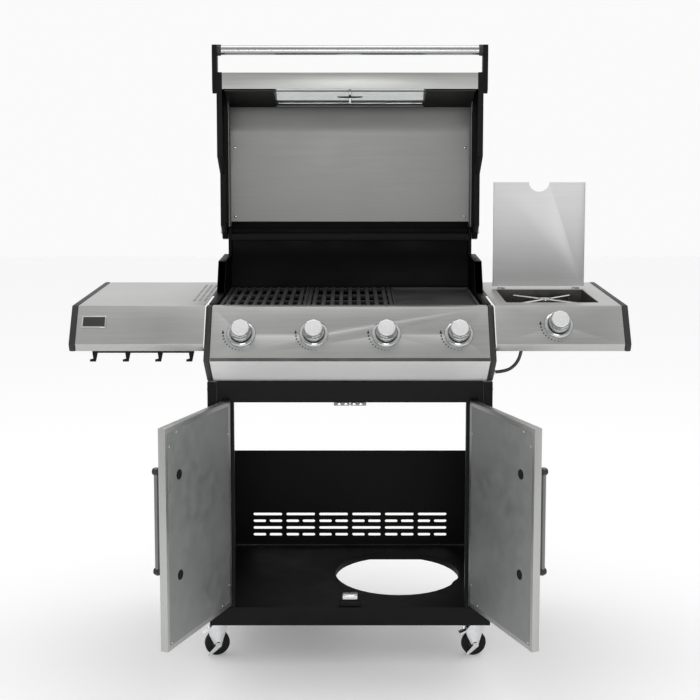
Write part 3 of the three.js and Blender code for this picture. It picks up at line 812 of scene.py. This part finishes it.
def makeThermometer(settings):
    r, z = settings["gaugeRadius"], settings["gaugeZ"]
    place = lidTurn @ aimed(at(0, settings["gaugeBack"], z), (0, -1, 0))
    bm = bmesh.new()
    case = [(0, 0), (r - 8, 0), (r - 1, 4), (r, 6), (r, 15)]
    case += [(r - 1.5, 17.4), (r - 4, 17.9), (r - 5, 15.5), (0, 15.4)]
    addTurned(bm, case, None, 72)
    addTurned(bm, [(0, -48), (2.4, -47), (3.4, -44), (3.4, 0.2), (0, 0.2)], None, 24)
    settle(bm, "thermometer_case", "chrome", "lid", ["thermometer"], 40, place)
    bm = bmesh.new()
    nut = [(3.6, -28.8), (33, -28.8), (34, -29.6), (30, -32), (12, -33), (3.6, -33), (3.6, -28.8)]
    addTurned(bm, nut, None, 40)
    settle(bm, "thermometer_nut", "paint", "lid", (), 40, place)
    bm = bmesh.new()
    addTurned(bm, [(0, 15.2), (r - 5, 15.2), (r - 5, 15.8), (0, 15.8)], None, 64)
    settle(bm, "thermometer_dial", "dial", "lid", (), 40, place)
    bm = bmesh.new()
    for i in range(27):
        turn = Matrix.Rotation(math.radians(-130 + i * 10), 4, "Z")
        long = 5.5 if i % 3 == 0 else 3
        tick = bmesh.ops.create_cube(bm, size=1)["verts"]
        bmesh.ops.scale(bm, vec=(0.7 * mm, long * mm, 0.3 * mm), verts=tick)
        bmesh.ops.translate(bm, vec=(0, (r - 8 - long / 2) * mm, 16 * mm), verts=tick)
        bmesh.ops.transform(bm, matrix=turn, verts=tick)
    settle(bm, "thermometer_ticks", "printAndShade", "lid", (), 40, place)
    bm = bmesh.new()
    addTurned(bm, [(0, 15.9), (2.6, 15.9), (2.6, 17), (0, 17.3)], None, 20)
    addBlock(bm, (-0.7 * mm, 0, 16.2 * mm), (0.7 * mm, (r - 13) * mm, 16.8 * mm))
    settle(bm, "thermometer_needle", "red", "lid", (), 40, place @ Matrix.Rotation(2.2, 4, "Z"))


makeLidFittings(lidSet)
makeThermometer(lidSet)
print("lid fitted")

# side burner, its wire support, hinge and the gas hose
burnerSet = {
    "floor": 848,
    "x": 493,
    "y": 171.5,
    "ports": 30,
    "head": [
        (0, 0.5), (24, 0.5), (24, 10), (33, 12), (34, 13),
        (34, 17), (30, 20), (12, 21), (0, 21),
    ],
    "ring": [
        (12.4, -3), (17.6, -3), (18, -2.4), (18, 2.4), (17.6, 3),
        (12.4, 3), (12, 2.4), (12, -2.4), (12.4, -3),
    ],
    "pan": (380.3, 605.7, 53.3, 289.7, 891),
}


def makeSideBurner(settings):
    x, y, floor = settings["x"], settings["y"], settings["floor"]
    place = Matrix.Translation(at(x, y, floor))
    bm = bmesh.new()
    addTurned(bm, settings["head"], place, 60)
    settle(bm, "burner_head", "iron", "cart", ["side_burner"], 40)
    bm = bmesh.new()
    for i in range(settings["ports"]):
        angle = i * math.tau / settings["ports"]
        out = Vector((math.cos(angle), math.sin(angle), 0))
        addBar(bm, at(x, y, floor + 15) + out * 0.0335, at(x, y, floor + 15) + out * 0.0344, 1.2 * mm, 8, 0.1)
    addBar(bm, at(x + 40, y + 8, floor + 0.5), at(x + 40, y + 8, floor + 20), 3 * mm, 16)
    settle(bm, "burner_ports", "burntAndShade", "cart")

    bm = bmesh.new()
    top = floor + 34
    for i in range(4):
        turn = i * math.pi / 2 + math.pi / 4
        out = Vector((math.cos(turn), math.sin(turn), 0))
        centre = at(x, y, top)
        bend = [centre + out * 0.014, centre + out * 0.092, centre + out * 0.1]
        bend.append(centre + out * 0.101 - Vector((0, 0, 0.006)))
        bend.append(Vector((bend[-1].x, bend[-1].y, at(0, 0, floor + 0.6).z)))
        for a, b in zip(bend, bend[1:]):
            addBar(bm, a, b, 3 * mm, 14, 0.2)
    addTurned(bm, settings["ring"], Matrix.Translation(at(x, y, top)), 40)
    settle(bm, "wire_support", "chrome", "cart", ["pan_support"], 40)

    x0, x1, y0, y1, rim = settings["pan"]
    bm = bmesh.new()
    addBlock(bm, at(x0, y0, floor + 0.05), at(x1, y1, floor + 0.3))
    addBlock(bm, at(x0, y0, floor + 0.3), at(x0 + 0.5, y1, rim))
    addBlock(bm, at(x1 - 0.5, y0, floor + 0.3), at(x1, y1, rim))
    addBlock(bm, at(x0, y0, floor + 0.3), at(x1, y0 + 0.5, rim))
    addBlock(bm, at(x0, y1 - 0.5, floor + 0.3), at(x1, y1, rim))
    settle(bm, "burner_pan", "burntAndShade", "cart")

    low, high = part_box("side_burner_lid")
    pin = Vector(joints["side_lid_hinge"]["pos_m"])
    bm = bmesh.new()
    for x0 in (low.x + 0.012, high.x - 0.032):
        addBar(bm, (x0, pin.y, pin.z), (x0 + 0.02, pin.y, pin.z), 2.6 * mm, 20, 0.4)
        leaf = (x0 + 0.019, pin.y + 0.014, pin.z - 0.0022)
        addBlock(bm, (x0 + 0.001, pin.y + 0.001, pin.z - 0.0038), leaf, 0.0004)
    settle(bm, "side_lid_hinges", "chrome", "cart")


hoseSet = {
    "radius": 4.1,
    "steps": 10,
    "path": [
        (424, 60, 845), (421, 60, 806), (419, 60, 772), (410, 60, 745),
        (392, 60, 727), (368, 60, 720), (343, 60, 719),
    ],
}


def makeHose(settings):
    points = [at(*p) for p in settings["path"]]
    padded = [2 * points[0] - points[1], *points, 2 * points[-1] - points[-2]]
    line = []
    for i in range(1, len(padded) - 2):  # one smooth curve through the route
        a, b, c, d = padded[i - 1 : i + 3]
        for k in range(settings["steps"]):
            t = k / settings["steps"]
            square, cube = 2 * a - 5 * b + 4 * c - d, 3 * b - a - 3 * c + d
            line.append(0.5 * (2 * b + (c - a) * t + square * t**2 + cube * t**3))
    line.append(points[-1])
    bm = bmesh.new()
    loop = bmesh.ops.create_circle(bm, cap_ends=True, segments=20, radius=settings["radius"] * mm)["verts"]
    first = aimed(line[0], line[1] - line[0])
    bmesh.ops.transform(bm, matrix=first, verts=loop)
    face = bm.faces[:][0]
    previous = first
    for i, point in enumerate(line[1:], 1):
        ahead = line[min(i + 1, len(line) - 1)] - line[i - 1]
        here = aimed(point, ahead)
        made = bmesh.ops.extrude_face_region(bm, geom=[face], use_keep_orig=(i == 1))["geom"]
        verts = [g for g in made if isinstance(g, bmesh.types.BMVert)]
        bmesh.ops.transform(bm, matrix=here @ previous.inverted(), verts=verts)
        face = [g for g in made if isinstance(g, bmesh.types.BMFace)][0]
        previous = here
    settle(bm, "hose", "hose", "cart", ["gas_hose"], 60)
    bm = bmesh.new()
    nut = [(4.2, 0), (7.4, 0), (8, 0.8), (8, 9), (7, 10), (6, 14), (4.2, 15), (4.2, 0)]
    addTurned(bm, nut, aimed(at(424, 60, 846), (0, 0, -1)), 6)
    addTurned(bm, nut, aimed(at(342.6, 60, 719), (1, 0, 0)), 6)
    settle(bm, "hose_nuts", "chrome", "cart", (), 30)


def makeRearLedge(settings):
    # a folded black ledge closes the firebox at the back, under the open lid
    bm = bmesh.new()
    half, low, high = settings["half"], settings["low"], settings["high"]
    addBlock(bm, at(-half, settings["front"], low), at(half, settings["back"], high), 0.003, 3)
    settle(bm, "rear_ledge", "paint", "cart")


makeRearLedge({"half": 318, "front": 404, "back": 453, "low": 1008, "high": 1027})
makeSideBurner(burnerSet)
makeHose(hoseSet)
print("side burner and hose made")

# left shelf: blank badge, and vent slits drawn as dark blocks that are painted shade for the openings
shelfSet = {"badgeX": -609, "badgeWide": 58, "badgeHigh": 30, "slitRows": 3, "slitCount": 13}


def makeShelfDetails(settings):
    top, nose = (0, 892), (-52, 808)
    slope = math.atan2(top[0] - nose[0], top[1] - nose[1])
    middle = at(settings["badgeX"], (top[0] + nose[0]) / 2, 856)
    middle.y = at(0, top[0] + (856 - top[1]) * math.tan(slope), 0).y
    place = Matrix.Translation(middle) @ Matrix.Rotation(math.pi / 2 - slope, 4, "X")
    wide, high = settings["badgeWide"] / 2 * mm, settings["badgeHigh"] / 2 * mm
    bm = bmesh.new()
    addBlock(bm, (-wide, -high, 0.0002), (wide, high, 0.0022), 0.0009, 3)
    settle(bm, "badge_rim", "chrome", "cart", (), 40, place)
    bm = bmesh.new()
    addBlock(bm, (-wide + 0.003, -high + 0.003, 0.0018), (wide - 0.003, high - 0.003, 0.0025), 0.0003)
    settle(bm, "badge_blank", "plastic", "cart", (), 40, place)
    # the slits are dark blocks on the shelf top: painted shade for the dark inside of the openings
    bm = bmesh.new()
    for row in range(settings["slitRows"]):
        for i in range(settings["slitCount"]):
            x, y = -382 + row * 13, 80 + i * 24
            addBlock(bm, at(x - 3.4, y - 3.6, 891.6), at(x + 3.4, y + 3.6, 892.25), 0.0002, 1)
    settle(bm, "vent_slit_shade", "printAndShade", "cart")


makeShelfDetails(shelfSet)
print("shelf details made")

# casters
casterSet = {
    "tyre": [
        (15, -8.6), (26, -9.4), (29.4, -8.4), (31, -5.2),
        (31, 5.2), (29.4, 8.4), (26, 9.4), (15, 8.6),
    ],
    "hub": [
        (3.5, -9.6), (8, -9.6), (8.6, -7.4), (14.6, -6.6), (15.2, -8.8), (15.2, 8.8), (14.6, 6.6),
        (8.6, 7.4), (8, 9.6), (3.5, 9.6), (3.5, -9.6),
    ],
    "nut": [(0, -1), (7, -1), (7, 1.2), (5.6, 2.4), (0, 2.6)],
    "arm": [(-4, 4.5), (4, 5), (7.5, 1), (7, -4), (-10, -17), (-25, -27), (-28, -24), (-22, -16), (-8, -2)],
    "armOut": 17.6,
    "armThick": 1.8,
}


def makeCaster(corner, settings):
    wheel = joints["roll_" + corner]
    place = aimed(wheel["pos_m"], wheel["axis"])
    bm = bmesh.new()
    addTurned(bm, settings["tyre"] + settings["tyre"][:1], place, 64)
    settle(bm, "tyre_" + corner, "rubber", "roller_" + corner, ["wheel_" + corner], 40)
    bm = bmesh.new()
    addTurned(bm, settings["hub"], place, 48)
    settle(bm, "hub_" + corner, "plastic", "roller_" + corner)
    bm = bmesh.new()
    for side in (-1, 1):
        end = place @ Matrix.Translation((0, 0, side * 14.6 * mm))
        facing = Matrix.Rotation(0 if side > 0 else math.pi, 4, "X")
        addTurned(bm, settings["nut"], end @ facing, 6)
    settle(bm, "axle_nuts_" + corner, "chrome", "caster_" + corner, (), 30)
    if corner.startswith("front"):  # the lock arm hangs down beside the hub
        out = settings["armOut"] * mm
        outline = [place @ Vector((u * mm, v * mm, out)) for u, v in settings["arm"]]
        bm = bmesh.new()
        addPlate(bm, outline, place.to_3x3() @ Vector((0, 0, settings["armThick"] * mm)))
        settle(bm, "lock_arm_" + corner, "chrome", "caster_" + corner, (), 30)
    pivot = Vector(joints["swivel_" + corner]["pos_m"])
    bm = bmesh.new()
    race = [(16, 0.9), (21, 0.9), (21.6, 1.6), (21.6, 5), (20, 6.6), (20, 8.4), (16, 8.4), (16, 0.9)]
    addTurned(bm, race, Matrix.Translation((pivot.x, pivot.y, pivot.z)), 48)
    settle(bm, "swivel_race_" + corner, "chrome", "cart")


for cornerName in corners:
    makeCaster(cornerName, casterSet)
print("casters made")

# screws on the cabinet, panel and firebox
screwSet = {"head": 3.6, "high": 1.8}


def makeScrews(settings):
    bm = bmesh.new()
    for side in (-1, 1):
        for y in (12, 240, 468):
            for z in (170, 686):
                addScrew(bm, at(side * 344, y, z), (side, 0, 0), settings["head"], settings["high"])
        for z in (200, 380):
            addScrew(bm, at(side * 328, 475, z), (0, 1, 0), settings["head"], settings["high"])
        for x in (110, 300):
            addScrew(bm, at(side * x, 455, 1000), (0, 1, 0), settings["head"], settings["high"])
        for y, z in ((120, 770), (400, 770), (400, 930)):
            addScrew(bm, at(side * 342, y, z), (side, 0, 0), settings["head"], settings["high"])
        for y, z in ((-30, 800), (20, 740)):
            addScrew(bm, at(side * 345.5, y, z), (side, 0, 0), settings["head"], settings["high"])
    settle(bm, "cabinet_screws", "zinc", "cart")


makeScrews(screwSet)
print("screws set")
